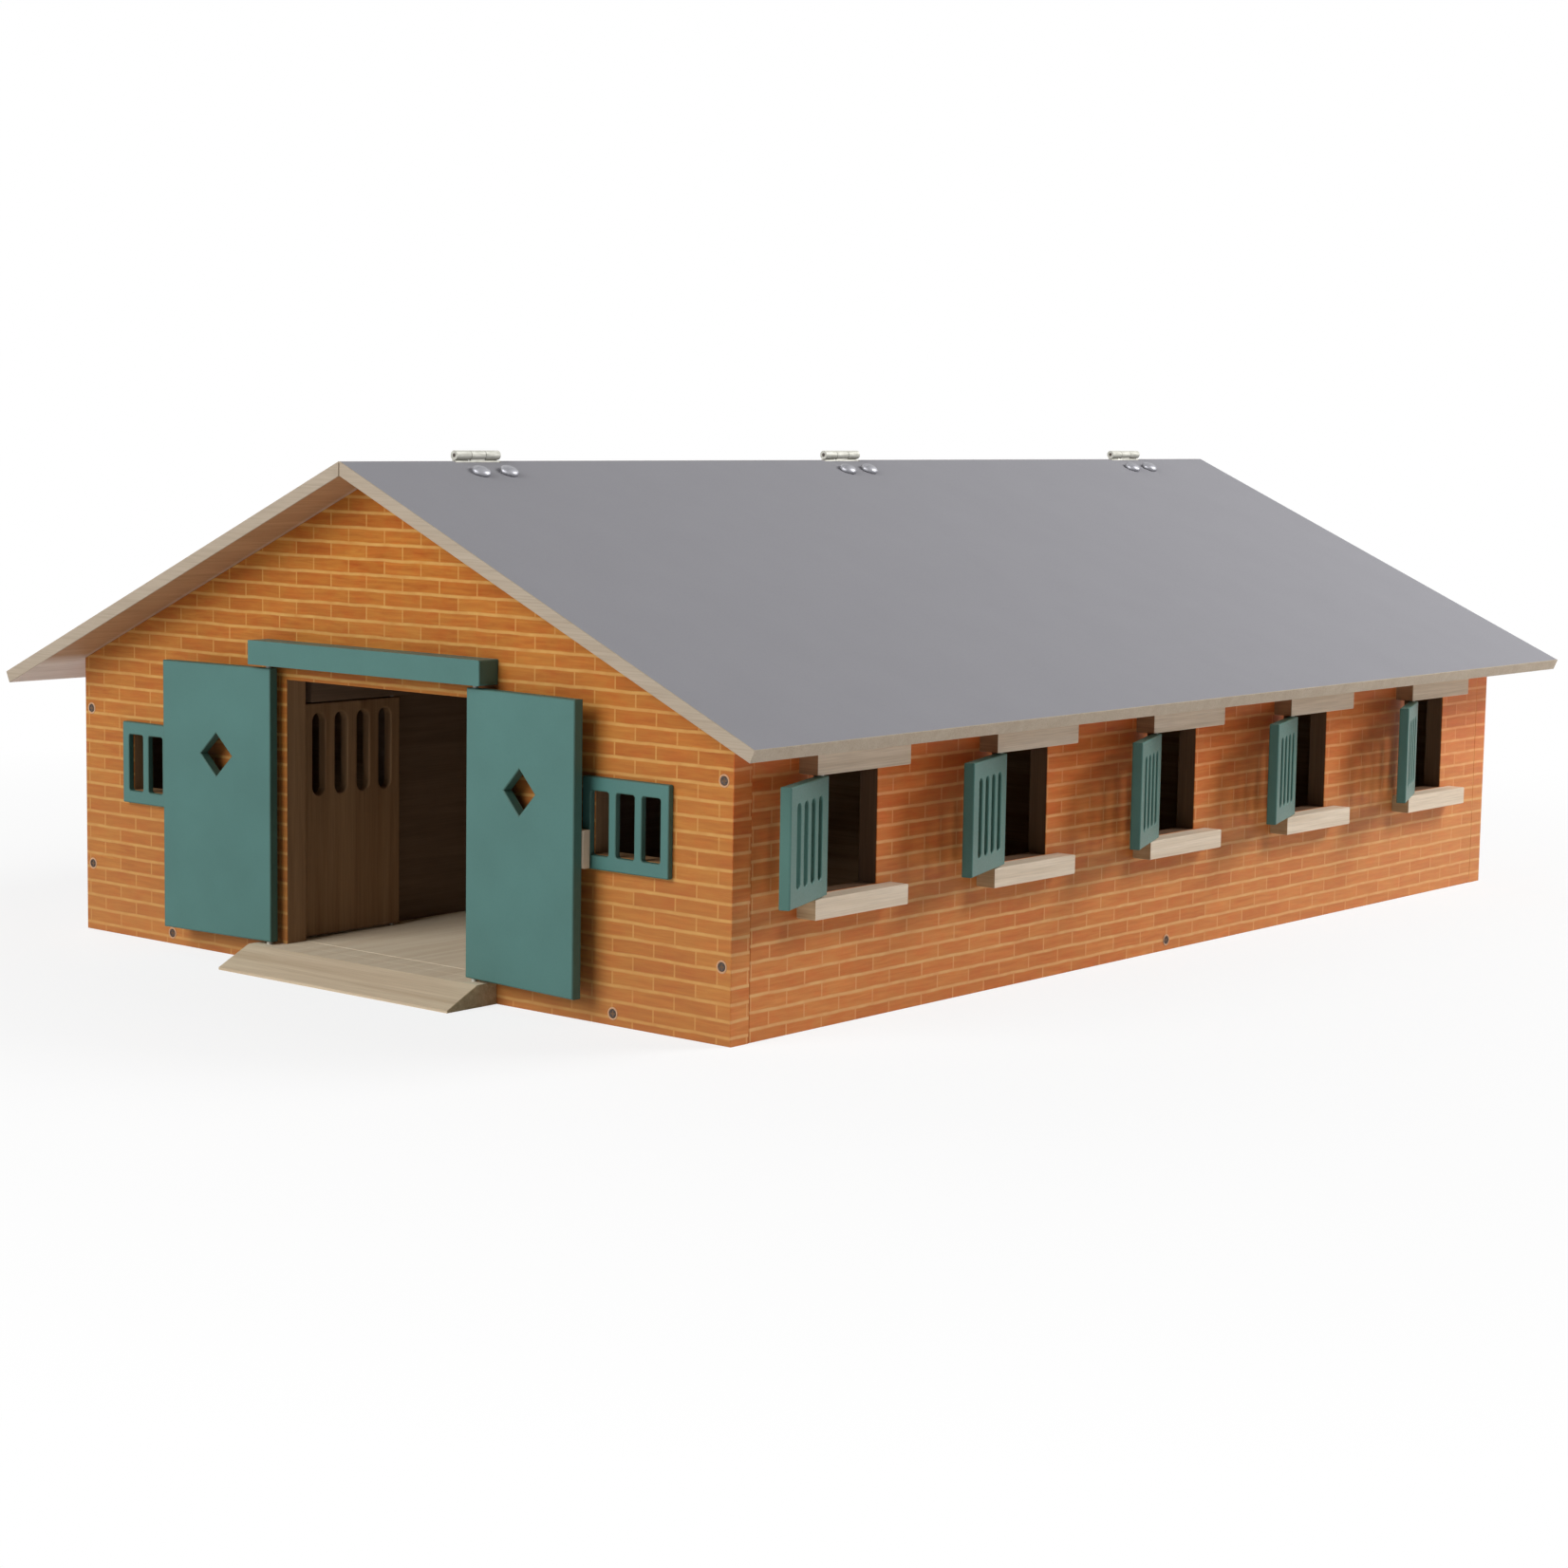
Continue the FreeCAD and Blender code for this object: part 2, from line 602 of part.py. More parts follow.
def hinge_leaf(name, side, knuckles):
    """A bent leaf on its barrel: down through the ridge notch, then out under the roof board."""
    body = doc.addObject("PartDesign::Body", name + "_plate")
    sketch = sketch_on(body, name + "_profile", "XZ_Plane")
    inner, outer = "leaf_gap / 2", "(leaf_gap / 2 + leaf_thick)"
    top = "-(barrel_dia / 2 + knuckle_gap)"
    seat = "-(barrel_rise + roof_thick / cos(roof_pitch))"
    under = f"{seat} - leaf_thick / cos(roof_pitch)"
    polygon(sketch, [
        (f"{side} * {inner}", top),
        (f"{side} * {outer}", top),
        (f"{side} * {outer}", f"{seat} - {outer} * tan(roof_pitch)"),
        (f"{side} * leaf_reach", f"{seat} - leaf_reach * tan(roof_pitch)"),
        (f"{side} * leaf_reach", f"{under} - leaf_reach * tan(roof_pitch)"),
        (f"{side} * {inner}", f"{under} - {inner} * tan(roof_pitch)"),
    ])
    pad(body, sketch, "hinge_length", symmetric=True)
    pieces = [body]
    strap = (inner, outer) if side > 0 else (f"-{outer}", f"-{inner}")
    for i, (low, high) in enumerate(knuckles):
        pieces.append(cylinder(f"{name}_knuckle_{i}", "barrel_dia / 2", f"({high}) - ({low})", y=high,
                               turn=90, axis=X_AXIS))
        pieces.append(box(f"{name}_strap_{i}", strap, (low, high), (f"{top} - leaf_thick", 0)))
    return fuse(name, pieces)


half_centre, half_hinge = "(centre_knuckle / 2)", "(hinge_length / 2)"
outer_knuckles = [(f"-{half_hinge}", f"-{half_centre} - knuckle_gap"),
                  (f"{half_centre} + knuckle_gap", half_hinge)]
leaves = {"left": hinge_leaf("fixed_leaf", -1, outer_knuckles),
          "right": hinge_leaf("moving_leaf", 1, [(f"-{half_centre}", half_centre)])}
hinge_pin = {"y": half_hinge, "turn": 90, "axis": X_AXIS}
pin_rod = cylinder("hinge_pin_rod", "hinge_pin_dia / 2", "hinge_length", **hinge_pin)
pin_bore = cylinder("hinge_pin_bore", "hinge_pin_dia / 2 + hinge_pin_clear", "hinge_length", **hinge_pin)


def at_hinges(source, name):
    return [copy_of(source, f"{name}_{i}", y=hinge, z=HINGE_AXIS) for i, hinge in enumerate(HINGE_MIDDLES)]


for side_name, side in SIDES:
    roof_panel(side_name, side)
    label = f"{side_name}_hinge_leaves"
    drilled = cut(f"{side_name}_leaf", leaves[side_name], pin_bore)
    node(group(label, at_hinges(drilled, label)), label)
node(group("ridge_hinge_pins", at_hinges(pin_rod, "ridge_pin")), "ridge_hinge_pins")


doc.recompute()
failed = [thing.Name for thing in doc.Objects if "Invalid" in thing.State or "Error" in thing.State]
failed += [thing.Label for thing in nodes if thing.Shape.isNull() or not thing.Shape.isValid()]
if failed:
    raise RuntimeError(f"not built: {failed}")
os.makedirs("parts", exist_ok=True)
for thing in nodes:
    thing.Shape.exportStep(f"parts/{thing.Label}.step")
print(f"{len(nodes)} sub-parts, {sum(len(thing.Shape.Solids) for thing in nodes)} solids")
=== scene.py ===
import math

import bmesh
import bpy
from mathutils import Matrix, Vector
from mathutils.geometry import tessellate_polygon


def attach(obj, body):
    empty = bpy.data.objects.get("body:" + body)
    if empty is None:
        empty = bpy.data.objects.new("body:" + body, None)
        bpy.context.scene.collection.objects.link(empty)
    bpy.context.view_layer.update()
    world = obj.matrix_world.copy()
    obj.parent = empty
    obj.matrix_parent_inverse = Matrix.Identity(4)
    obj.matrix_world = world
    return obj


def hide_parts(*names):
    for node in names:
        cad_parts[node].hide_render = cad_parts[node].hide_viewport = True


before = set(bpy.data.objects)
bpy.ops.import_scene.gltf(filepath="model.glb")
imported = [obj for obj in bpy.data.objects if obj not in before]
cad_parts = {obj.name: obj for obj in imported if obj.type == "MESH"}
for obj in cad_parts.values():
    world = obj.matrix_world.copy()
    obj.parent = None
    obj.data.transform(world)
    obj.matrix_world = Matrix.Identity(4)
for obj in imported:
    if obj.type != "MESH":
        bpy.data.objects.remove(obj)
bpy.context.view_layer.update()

scene = bpy.context.scene

# Sizes of the building in millimetres, as in the part.
MILLIMETRE = 0.001
HALF_WIDTH, HALF_LENGTH = 210, 329
WALL_HEIGHT = 134.5
FLOOR, GABLE, WALL, ROOF = 10, 12, 10, 6
PITCH = math.radians(24.2)
RIDGE_LOW = WALL_HEIGHT + HALF_WIDTH * math.tan(PITCH)
RIDGE_TOP = RIDGE_LOW + ROOF / math.cos(PITCH)
INNER_WIDTH, INNER_LENGTH = HALF_WIDTH - WALL, HALF_LENGTH - GABLE
STALL_PITCH = 127.6
STALLS = [(k - 2) * STALL_PITCH for k in range(5)]
HINGE_PITCH = 268.5
HINGES = (-HINGE_PITCH, 0, HINGE_PITCH)
SIDES = (("left", -1), ("right", 1))

# Eased edges in millimetres, drawn as quarter arcs.
ROOF_EASE, SAWN_EASE, BLOCK_EASE, LEAF_EASE, RAIL_EASE, HANDLE_EASE = 0.35, 0.4, 0.5, 0.6, 0.7, 1.1
EASE_STEPS = 3

# Faces that meet at less than this angle are shaded smooth. A full round keeps a hair of straight edge.
SMOOTH_ANGLE = math.radians(32)
HAIR = 0.01


# Materials. Noise scales are per millimetre, and most of a noise lies within its range.

NOISE_RANGE = (0.3, 0.7)


def colour(red, green, blue):
    """A colour given by its 8-bit sRGB values."""
    parts = [v / 255 for v in (red, green, blue)]
    return (*[v / 12.92 if v <= 0.04045 else ((v + 0.055) / 1.055) ** 2.4 for v in parts], 1)


def darker(share, shade):
    return colour(*[share * v for v in shade])


class Finish:
    """A node material; add() returns the first output of a new node."""

    def __init__(self, name):
        self.material = bpy.data.materials.new(name)
        self.material.use_nodes = True
        self.tree = self.material.node_tree
        self.shader = self.tree.nodes["Principled BSDF"]

    def set(self, node, values):
        for key, value in values.items():
            if isinstance(value, bpy.types.NodeSocket):
                self.tree.links.new(value, node.inputs[key])
            else:
                node.inputs[key].default_value = value

    def add(self, kind, values, output=0, **settings):
        node = self.tree.nodes.new("ShaderNode" + kind)
        for key, value in settings.items():
            setattr(node, key, value)
        self.set(node, values)
        return node.outputs[output]

    def place(self):
        """The point in the part's frame, in millimetres."""
        return self.stretch(self.add("TexCoord", {}, output="Object"), (1000, 1000, 1000))

    def stretch(self, place, scale):
        return self.add("VectorMath", {0: place, 1: scale}, operation="MULTIPLY")

    def split(self, place):
        """A point's X, Y and Z."""
        return self.add("SeparateXYZ", {0: place}).node.outputs

    def noise(self, place, scale, detail, roughness=0.5, distortion=0):
        values = {"Vector": place, "Scale": scale, "Detail": detail, "Roughness": roughness,
                  "Distortion": distortion}
        return self.add("TexNoise", values)

    def level(self, value, low, high, to_low=0, to_high=1):
        values = {"Value": value, "From Min": low, "From Max": high, "To Min": to_low, "To Max": to_high}
        return self.add("MapRange", values)

    def math(self, operation, first, second=0):
        return self.add("Math", {0: first, 1: second}, operation=operation)

    def mix(self, share, first, second, kind="MIX"):
        return self.add("Mix", {0: share, 6: first, 7: second}, output=2, data_type="RGBA", blend_type=kind)

    def tinted(self, share, base, tint):
        """A base colour, multiplied by a tint over a share of the surface."""
        return self.mix(share, base, self.mix(1, base, (*tint, 1), "MULTIPLY"))

    def bump(self, height, distance, strength):
        return self.add("Bump", {"Height": height, "Distance": distance, "Strength": strength})

    def surface(self, **values):
        self.set(self.shader, {key.replace("_", " "): value for key, value in values.items()})
        return self.material


# Brick print: scales and tints of the clay, joints between bricks, half widths of the lines between courses,
# and the stretches in millimetres of painted light, paler towards its foot and its rear end, and of painted
# shade, redder upwards under the eaves.
STREAK_SCALE, PATCH_SCALE, BLOTCH_SCALE = (0.045, 0.55, 1), (0.012, 0.03, 1), (0.09, 0.17, 1)
BLOTCH = (1.03, 0.82, 0.74)
PALE_BRICK, DEEP_BRICK = (1.04, 1.12, 1.24, 1), (0.9, 0.8, 0.68, 1)
JOINT, JOINT_SOFTNESS, JOINT_STRENGTH = 0.5, 0.25, 0.66
LINE_WAVE = 0.2
LINE_CORE, LINE_EDGE = 0.4, 0.92
PAINTED_LIGHT_COLOUR = colour(206, 154, 108)
PAINTED_FLOOR_LIGHT_HEIGHTS, PAINTED_SHEEN_LENGTHS, PAINTED_EAVE_SHADE_HEIGHTS = (10, 190), (-60, 330), (50, 95)


def brick_clay(f, flat, light, dark, worn):
    """Clay with streaks along the courses, worn patches and darker blotches."""
    streaks = f.noise(f.stretch(flat, STREAK_SCALE), 1, 4, 0.6, 0.4)
    patches = f.noise(f.stretch(flat, PATCH_SCALE), 1, 3)
    blotches = f.noise(f.stretch(flat, BLOTCH_SCALE), 1, 3, 0.6)
    clay = f.mix(f.level(streaks, 0.32, 0.72), colour(*light), colour(*dark))
    clay = f.mix(f.level(patches, 0.35, 0.7, 0, 0.45), clay, colour(*worn))
    return f.tinted(f.level(blotches, 0.42, 0.66, 0, 0.8), clay, BLOTCH)


def brick_print(name, across, start, brick, light, dark, worn, mortar, shine, painted_floor_light, painted_sheen, painted_eave_shade):
    """Printed brickwork: the axis along its courses, the first brick's corner and the bricks' size."""
    f = Finish(name)
    place = f.place()
    parts = f.split(place)
    width, height = brick
    wave = f.level(f.noise(place, 0.06, 2), *NOISE_RANGE, -LINE_WAVE, LINE_WAVE)
    u = f.math("SUBTRACT", parts[across], start[0])
    v = f.math("ADD", f.math("SUBTRACT", parts["Z"], start[1]), wave)
    flat = f.add("CombineXYZ", {0: u, 1: v})
    bricks = {"Vector": flat, "Color1": PALE_BRICK, "Color2": DEEP_BRICK, "Mortar": (1, 1, 1, 1), "Scale": 1,
              "Mortar Size": JOINT, "Mortar Smooth": JOINT_SOFTNESS, "Bias": 0, "Brick Width": width,
              "Row Height": height}
    tint = f.add("TexBrick", bricks)
    body = f.mix(1, brick_clay(f, flat, light, dark, worn), tint, "MULTIPLY")
    course = f.level(f.math("PINGPONG", v, height / 2), LINE_CORE, LINE_EDGE, 1, 0)
    line = f.math("MAXIMUM", course, f.math("MULTIPLY", tint.node.outputs["Fac"], JOINT_STRENGTH))
    faded = f.level(f.noise(flat, 0.11, 3), 0.25, 0.7, 0.5, 1)
    base = f.mix(f.math("MULTIPLY", line, faded), body, colour(*mortar))
    # Painted light: the print pales towards its foot, as in light from the floor, and towards the rear, as a
    # painted sheen.
    low = f.level(parts["Z"], *PAINTED_FLOOR_LIGHT_HEIGHTS, painted_floor_light, 0)
    distant = f.level(parts["Y"], *PAINTED_SHEEN_LENGTHS, 0, painted_sheen)
    base = f.mix(f.math("ADD", low, distant), base, PAINTED_LIGHT_COLOUR)
    # Painted shade: the print turns redder and a little darker upwards, under the eaves.
    base = f.tinted(f.level(parts["Z"], *PAINTED_EAVE_SHADE_HEIGHTS), base, painted_eave_shade)
    grain = f.noise(place, 2.2, 2)
    return f.surface(Base_Color=base, Roughness=f.level(grain, *NOISE_RANGE, 0.44, 0.56),
                     Normal=f.bump(grain, distance=0.00005, strength=0.25), Specular_IOR_Level=shine)


# Wood: scales of its rings and fibres, and the stretch beside the walls where the painted shade on the
# roof's underside sets in.
RING_ACROSS, RING_ALONG = 0.16, 0.006
FIBRE_ACROSS, FIBRE_ALONG = 1.6, 0.035
SHADE_WIDTHS = (HALF_WIDTH - 6, HALF_WIDTH + 6)
SHADE_LENGTHS = (HALF_LENGTH - 5, HALF_LENGTH + 3)


def stretched_along(grain, across, along):
    """Noise scales of wood whose fibres run along an axis."""
    return [along if axis == grain else across for axis in "xyz"]


def over_gables(f, place):
    """1 where the roof stands out over a gable, between the side walls: where the roof's underside takes
    painted shade.
    """
    parts = f.split(place)
    inside = f.level(f.math("ABSOLUTE", parts["X"]), *SHADE_WIDTHS, 1, 0)
    beyond = f.level(f.math("ABSOLUTE", parts["Y"]), *SHADE_LENGTHS)
    return f.math("MULTIPLY", inside, beyond)


def wood(name, light, dark, grain, spread=1, fibre=0.4, shaded=None):
    """Bare wood; grain is the axis along the fibres, shaded the tint of the painted shade under the roof
    where it stands out over the gables.
    """
    f = Finish(name)
    place = f.place()
    rings = f.stretch(place, stretched_along(grain, RING_ACROSS * spread, RING_ALONG))
    rings = f.noise(rings, 1, 5, 0.55, 0.8)
    fibres = f.noise(f.stretch(place, stretched_along(grain, FIBRE_ACROSS, FIBRE_ALONG)), 1, 3, 0.6)
    base = f.mix(f.level(rings, 0.35, 0.68), colour(*light), colour(*dark))
    base = f.mix(f.level(fibres, 0.42, 0.75, 0, fibre), base, darker(0.8, dark))
    # Painted shade: a darker, browner tint where the roof stands out over the gables.
    if shaded:
        base = f.tinted(over_gables(f, place), base, shaded)
    return f.surface(Base_Color=base, Roughness=f.level(fibres, *NOISE_RANGE, 0.54, 0.72),
                     Normal=f.bump(fibres, distance=0.0001, strength=0.9 * fibre), Specular_IOR_Level=0.3)


def paint(name, light, dark, rough=0.42, shine=0.4):
    """Rolled paint on board."""
    f = Finish(name)
    place = f.place()
    clouds = f.noise(place, 0.03, 4)
    stipple = f.noise(place, 1.3, 3)
    base = f.mix(f.level(clouds, *NOISE_RANGE), colour(*light), colour(*dark))
    base = f.mix(f.level(stipple, 0.55, 0.8, 0, 0.15), base, darker(0.9, dark))
    return f.surface(Base_Color=base, Roughness=f.level(stipple, *NOISE_RANGE, rough - 0.05, rough + 0.07),
                     Normal=f.bump(stipple, distance=0.00008, strength=0.3), Specular_IOR_Level=shine)


def metal(name, light, dark, rough):
    """Rolled steel with faint marks along Y."""
    f = Finish(name)
    marks = f.noise(f.stretch(f.place(), (0.9, 0.15, 0.9)), 1, 4)
    base = f.mix(f.level(marks, *NOISE_RANGE), colour(*light), colour(*dark))
    return f.surface(Base_Color=base, Metallic=1,
                     Roughness=f.level(marks, *NOISE_RANGE, rough - 0.06, rough + 0.1),
                     Normal=f.bump(marks, distance=0.00005, strength=0.2))


# Both prints pale towards their foot with painted light; the side walls' print also pales towards the rear
# with a painted sheen.
FRONT_CLAY = dict(light=(190, 122, 46), dark=(164, 91, 26), worn=(177, 108, 42), mortar=(207, 158, 87),
                  shine=0.14, painted_floor_light=0.26, painted_sheen=0, painted_eave_shade=(1, 1, 1))
# The side walls' print turns redder upwards with painted shade under the eaves.
SIDE_CLAY = dict(light=(211, 133, 63), dark=(190, 105, 41), worn=(198, 115, 51), mortar=(223, 175, 113),
                 shine=0.18, painted_floor_light=0.14, painted_sheen=0.2, painted_eave_shade=(1.14, 0.92, 0.9))
GABLE_BRICK, WALL_BRICK = (23.4, 6.95), (23.45, 7.03)
gable_print = brick_print("brick_print_gable", "X", (15.3, 3.65), GABLE_BRICK, **FRONT_CLAY)
strip_print = brick_print("brick_print_corner", "Y", (9.1, 3.65), GABLE_BRICK, **SIDE_CLAY)
wall_print = brick_print("brick_print_wall", "Y", (-292.8, 5.55), WALL_BRICK, **SIDE_CLAY)

# The ramp's slope takes this pine, a little darker as painted shade.
pale_x_painted_shade = wood("pine_along_x_painted_shade", (219, 200, 172), (198, 175, 146), "x", fibre=0.25)
pale_y = wood("pine_along_y", (227, 211, 190), (206, 186, 161), "y")
pale_z = wood("pine_along_z", (221, 205, 184), (200, 180, 155), "z")
# The floor pine is lighter than the others, as painted light on the floor, the gables' thresholds and the
# ramp's flat top.
floor_pine_painted_light = wood("floor_pine_painted_light", (250, 234, 206), (238, 218, 188), "y", fibre=0.14)
under_pine = wood("roof_underside_pine", (228, 208, 188), (208, 186, 164), "y")
# The left roof's underside carries painted shade, brown, where it stands out over the gables.
soffit_pine_painted_shade = wood("roof_soffit_pine", (238, 228, 218), (221, 209, 197), "y", shaded=(0.6, 0.39, 0.23))
edge_x = wood("roof_edge_along_x", (182, 167, 148), (173, 157, 137), "x", 0.6)
edge_y = wood("roof_edge_along_y", (209, 193, 170), (190, 171, 146), "y")
ply_x = wood("board_along_x", (158, 124, 90), (132, 98, 66), "x")
# A darker board: painted shade for the inside, on the side walls' inner faces, the stall fronts and their
# battens.
painted_shade_ply_y = wood("board_along_y_painted_shade", (118, 96, 78), (104, 83, 66), "y")
ply_z = wood("board_along_z", (158, 124, 90), (132, 98, 66), "z")
# A darker board edge: painted shade on the side walls' cut edges and window openings, and on the floor of
# the screws' crosses.
painted_shade_reveal = wood("board_edge_painted_shade", (112, 84, 60), (94, 68, 48), "z")
sill_end = wood("sill_end_grain", (188, 166, 132), (168, 146, 112), "x", 2)
# End grain, darker on the lintels than on the sills as painted shade under the eaves.
painted_shade_lintel_end = wood("lintel_end_grain", (160, 127, 94), (140, 108, 78), "x", 2)
torn = wood("countersunk_edge", (214, 172, 136), (192, 144, 106), "z")

green = paint("green_paint", (73, 118, 112), (68, 111, 105))
green_edge = paint("green_paint_edge", (66, 104, 95), (58, 93, 84), 0.5)
shutter_green = paint("shutter_paint", (75, 108, 100), (70, 101, 93))
shutter_edge = paint("shutter_paint_edge", (73, 115, 106), (65, 104, 95), 0.5)
grey = paint("roof_paint", (154, 153, 158), (152, 151, 156), 0.7, 0.12)

steel = metal("steel", (192, 191, 184), (174, 173, 165), 0.72)
bolt_steel = metal("bolt_steel", (162, 162, 167), (138, 138, 143), 0.42)
dark_steel = metal("dark_steel", (92, 84, 80), (66, 59, 56), 0.5)


# Shapes: boards from outlines with eased edges, and turned fasteners.

def ring_of(points):
    return [Vector(p) for p in points]


def rectangle(x0, x1, y0, y1):
    return ring_of([(x0, y0), (x1, y0), (x1, y1), (x0, y1)])


def rounded(x, y, width, height, radius, steps=6):
    """A rectangle about x, y with round corners."""
    ring = []
    for i, (sx, sy) in enumerate(((1, 1), (-1, 1), (-1, -1), (1, -1))):
        for step in range(steps + 1):
            turn = math.pi / 2 * (i + step / steps)
            ring.append((x + sx * (width / 2 - radius) + radius * math.cos(turn),
                         y + sy * (height / 2 - radius) + radius * math.sin(turn)))
    return ring_of(ring)


def disc(width):
    return rounded(0, 0, width, width, width / 2 - HAIR, 8)


def inset(ring, distance):
    """An outline moved into the board, which lies on its left."""
    moved = []
    for i, here in enumerate(ring):
        before = (here - ring[i - 1]).normalized()
        after = (ring[(i + 1) % len(ring)] - here).normalized()
        one, two = Vector((-before.y, before.x)), Vector((-after.y, after.x))
        moved.append(here + (one + two) * (distance / (1 + one.dot(two))))
    return moved


def facing(origin, along, up):
    """The frame of a board whose outline runs along and up from a point."""
    along, up = Vector(along), Vector(up)
    columns = Matrix((along, up, along.cross(up))).transposed().to_4x4()
    return Matrix.Translation(Vector(origin)) @ columns


def upright(origin, along):
    return facing(origin, along, (0, 0, 1))


def add_piece(name, mesh, body, slot, *nodes):
    """Puts a mesh in the scene, on its body and in place of its nodes."""
    thing = bpy.data.objects.new(name, mesh)
    scene.collection.objects.link(thing)
    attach(thing, body)
    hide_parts(*nodes)


def shade_round_faces(mesh):
    mesh.shade_smooth()
    mesh.set_sharp_from_angle(angle=SMOOTH_ANGLE)


class Shape:
    """A mesh made of several bodies; marks are the materials' places in its list."""

    def __init__(self, *materials):
        self.materials = materials
        self.points, self.faces, self.marks = [], [], []

    def plate(self, outer, holes, low, high, ease, where, marks=(0, 1, 2), rim=None, shear=None):
        """A board from low to high along its own normal: marks of its front, back and edge.

        rim is the mark of the front's eased edge, where it isn't the edge's.
        """
        rings = [outer] + [list(reversed(hole)) for hole in holes]
        bends = [math.pi / 2 * i / EASE_STEPS for i in range(EASE_STEPS + 1)]
        levels = [(ease * (1 - math.sin(b)), high - ease * (1 - math.cos(b))) for b in bends]
        levels += [(depth, low + high - height) for depth, height in reversed(levels)]
        first = len(self.points)
        count = sum(len(ring) for ring in rings)
        for depth, height in levels:
            for ring in rings:
                for point in inset(ring, depth):
                    spot = Vector((point.x, point.y, height))
                    self.points.append(where @ (shear(spot) if shear else spot))
        for level in range(len(levels) - 1):
            mark = rim if level < EASE_STEPS and rim is not None else marks[2]
            start = first + level * count
            for ring in rings:
                for i in range(len(ring)):
                    a, b = start + i, start + (i + 1) % len(ring)
                    self.face((a + count, b + count, b, a), mark)
                start += len(ring)
        for level, mark, flip in ((0, marks[0], False), (len(levels) - 1, marks[1], True)):
            start = first + level * count
            flat = [[p.to_3d() for p in inset(ring, levels[level][0])] for ring in rings]
            spots = [p for ring in flat for p in ring]
            for a, b, c in tessellate_polygon(flat):
                up = (spots[b] - spots[a]).cross(spots[c] - spots[a]).z > 0
                corners = (a, b, c) if up != flip else (c, b, a)
                self.face(tuple(start + k for k in corners), mark)

    def block(self, low, high, ease):
        """A board with square edges, from two corners."""
        outline = rectangle(low[0], high[0], low[1], high[1])
        self.plate(outline, [], low[2], high[2], ease, Matrix.Identity(4), (0, 0, 0))

    def turned(self, profile, where, mark=0, steps=24):
        """A solid of revolution from (radius, height) pairs, closed at both ends of the axis."""
        first = len(self.points)
        for radius, height in profile:
            for i in range(steps):
                turn = 2 * math.pi * i / steps
                spot = Vector((radius * math.cos(turn), radius * math.sin(turn), height))
                self.points.append(where @ spot)
        for level in range(len(profile) - 1):
            for i in range(steps):
                a, b = first + level * steps + i, first + level * steps + (i + 1) % steps
                self.face((a, b, b + steps, a + steps), mark)
        self.face(tuple(first + i for i in reversed(range(steps))), mark)
        self.face(tuple(first + (len(profile) - 1) * steps + i for i in range(steps)), mark)

    def face(self, corners, mark):
        self.faces.append(corners)
        self.marks.append(mark)

    def mark_where(self, mark, test, only=None):
        """Gives another material to the faces whose points all pass a test, or only to those of one mark."""
        for i, corners in enumerate(self.faces):
            if only in (None, self.marks[i]) and all(test(self.points[c]) for c in corners):
                self.marks[i] = mark

    def mark_ends(self, mark, axis, flat=0.3):
        """Gives another material to the faces that lie square to an axis."""
        for i, corners in enumerate(self.faces):
            reach = [self.points[c]["xyz".index(axis)] for c in corners]
            if max(reach) - min(reach) < flat:
                self.marks[i] = mark

    def done(self, name, body, slot, *nodes, smooth=False):
        """Makes the mesh and puts it in the scene."""
        mesh = bpy.data.meshes.new(name)
        mesh.from_pydata([p * MILLIMETRE for p in self.points], [], self.faces)
        for material in self.materials:
            mesh.materials.append(material)
        mesh.polygons.foreach_set("material_index", self.marks)
        mesh.validate()
        if smooth:
            shade_round_faces(mesh)
        mesh.update()
        add_piece(name, mesh, body, slot, *nodes)


# Floor, gables and side walls.

DOORWAY_HALF_WIDTH, DOORWAY_TOP = 62, 133.5
FRONT_WINDOW_X, FRONT_WINDOW_Z = 153, 86.2
PANE_PITCH, PANE_WIDTH, PANE_HEIGHT, PANE_RADIUS = 14.6, 10.4, 27.4, 1.2
WINDOW_HALF_WIDTH, WINDOW_LOW, WINDOW_HIGH = 22, 58, 110
WALL_GAP = 0.5
BLOCK_HALF_LENGTH, BLOCK_DEPTH = 31.8, 10
SILL_HEIGHT, LINTEL_HEIGHT = 9, 12

# Faces this near to a gable's narrow sides or its threshold have a material of their own.
SIDE_BAND, THRESHOLD_BAND = 0.3, 0.6

floor_board = Shape(floor_pine_painted_light)
floor_board.block((-INNER_WIDTH, -INNER_LENGTH, 0), (INNER_WIDTH, INNER_LENGTH, FLOOR), SAWN_EASE)
floor_board.done("floor_board", "building", "plain_wood", "base_floor")


def gable(name, end, holes, strip):
    """A gable at the front, -1, or the rear, 1, with strip as the print on its narrow sides."""
    shape = Shape(gable_print, ply_x, ply_z, strip, floor_pine_painted_light)
    outline = ring_of([(-HALF_WIDTH, 0), (HALF_WIDTH, 0), (HALF_WIDTH, WALL_HEIGHT), (0, RIDGE_LOW),
                       (-HALF_WIDTH, WALL_HEIGHT)])
    where = upright((0, end * INNER_LENGTH, 0), (-end, 0, 0))
    shape.plate(outline, holes, 0, GABLE, BLOCK_EASE, where, rim=0)
    shape.mark_where(3, lambda spot: abs(spot.x) > HALF_WIDTH - SIDE_BAND)
    shape.mark_where(4, lambda spot: abs(spot.z - FLOOR) < THRESHOLD_BAND)
    shape.done(f"{name}_board", "building", "printed_board", name)


def front_opening(x):
    reach, rise = PANE_PITCH + PANE_WIDTH / 2, PANE_HEIGHT / 2
    return rectangle(x - reach, x + reach, FRONT_WINDOW_Z - rise, FRONT_WINDOW_Z + rise)


doorway = rectangle(-DOORWAY_HALF_WIDTH, DOORWAY_HALF_WIDTH, FLOOR, DOORWAY_TOP)
front_openings = [front_opening(side * FRONT_WINDOW_X) for _, side in SIDES]
gable("front_gable", -1, [doorway] + front_openings, strip_print)
gable("rear_gable", 1, [], wall_print)


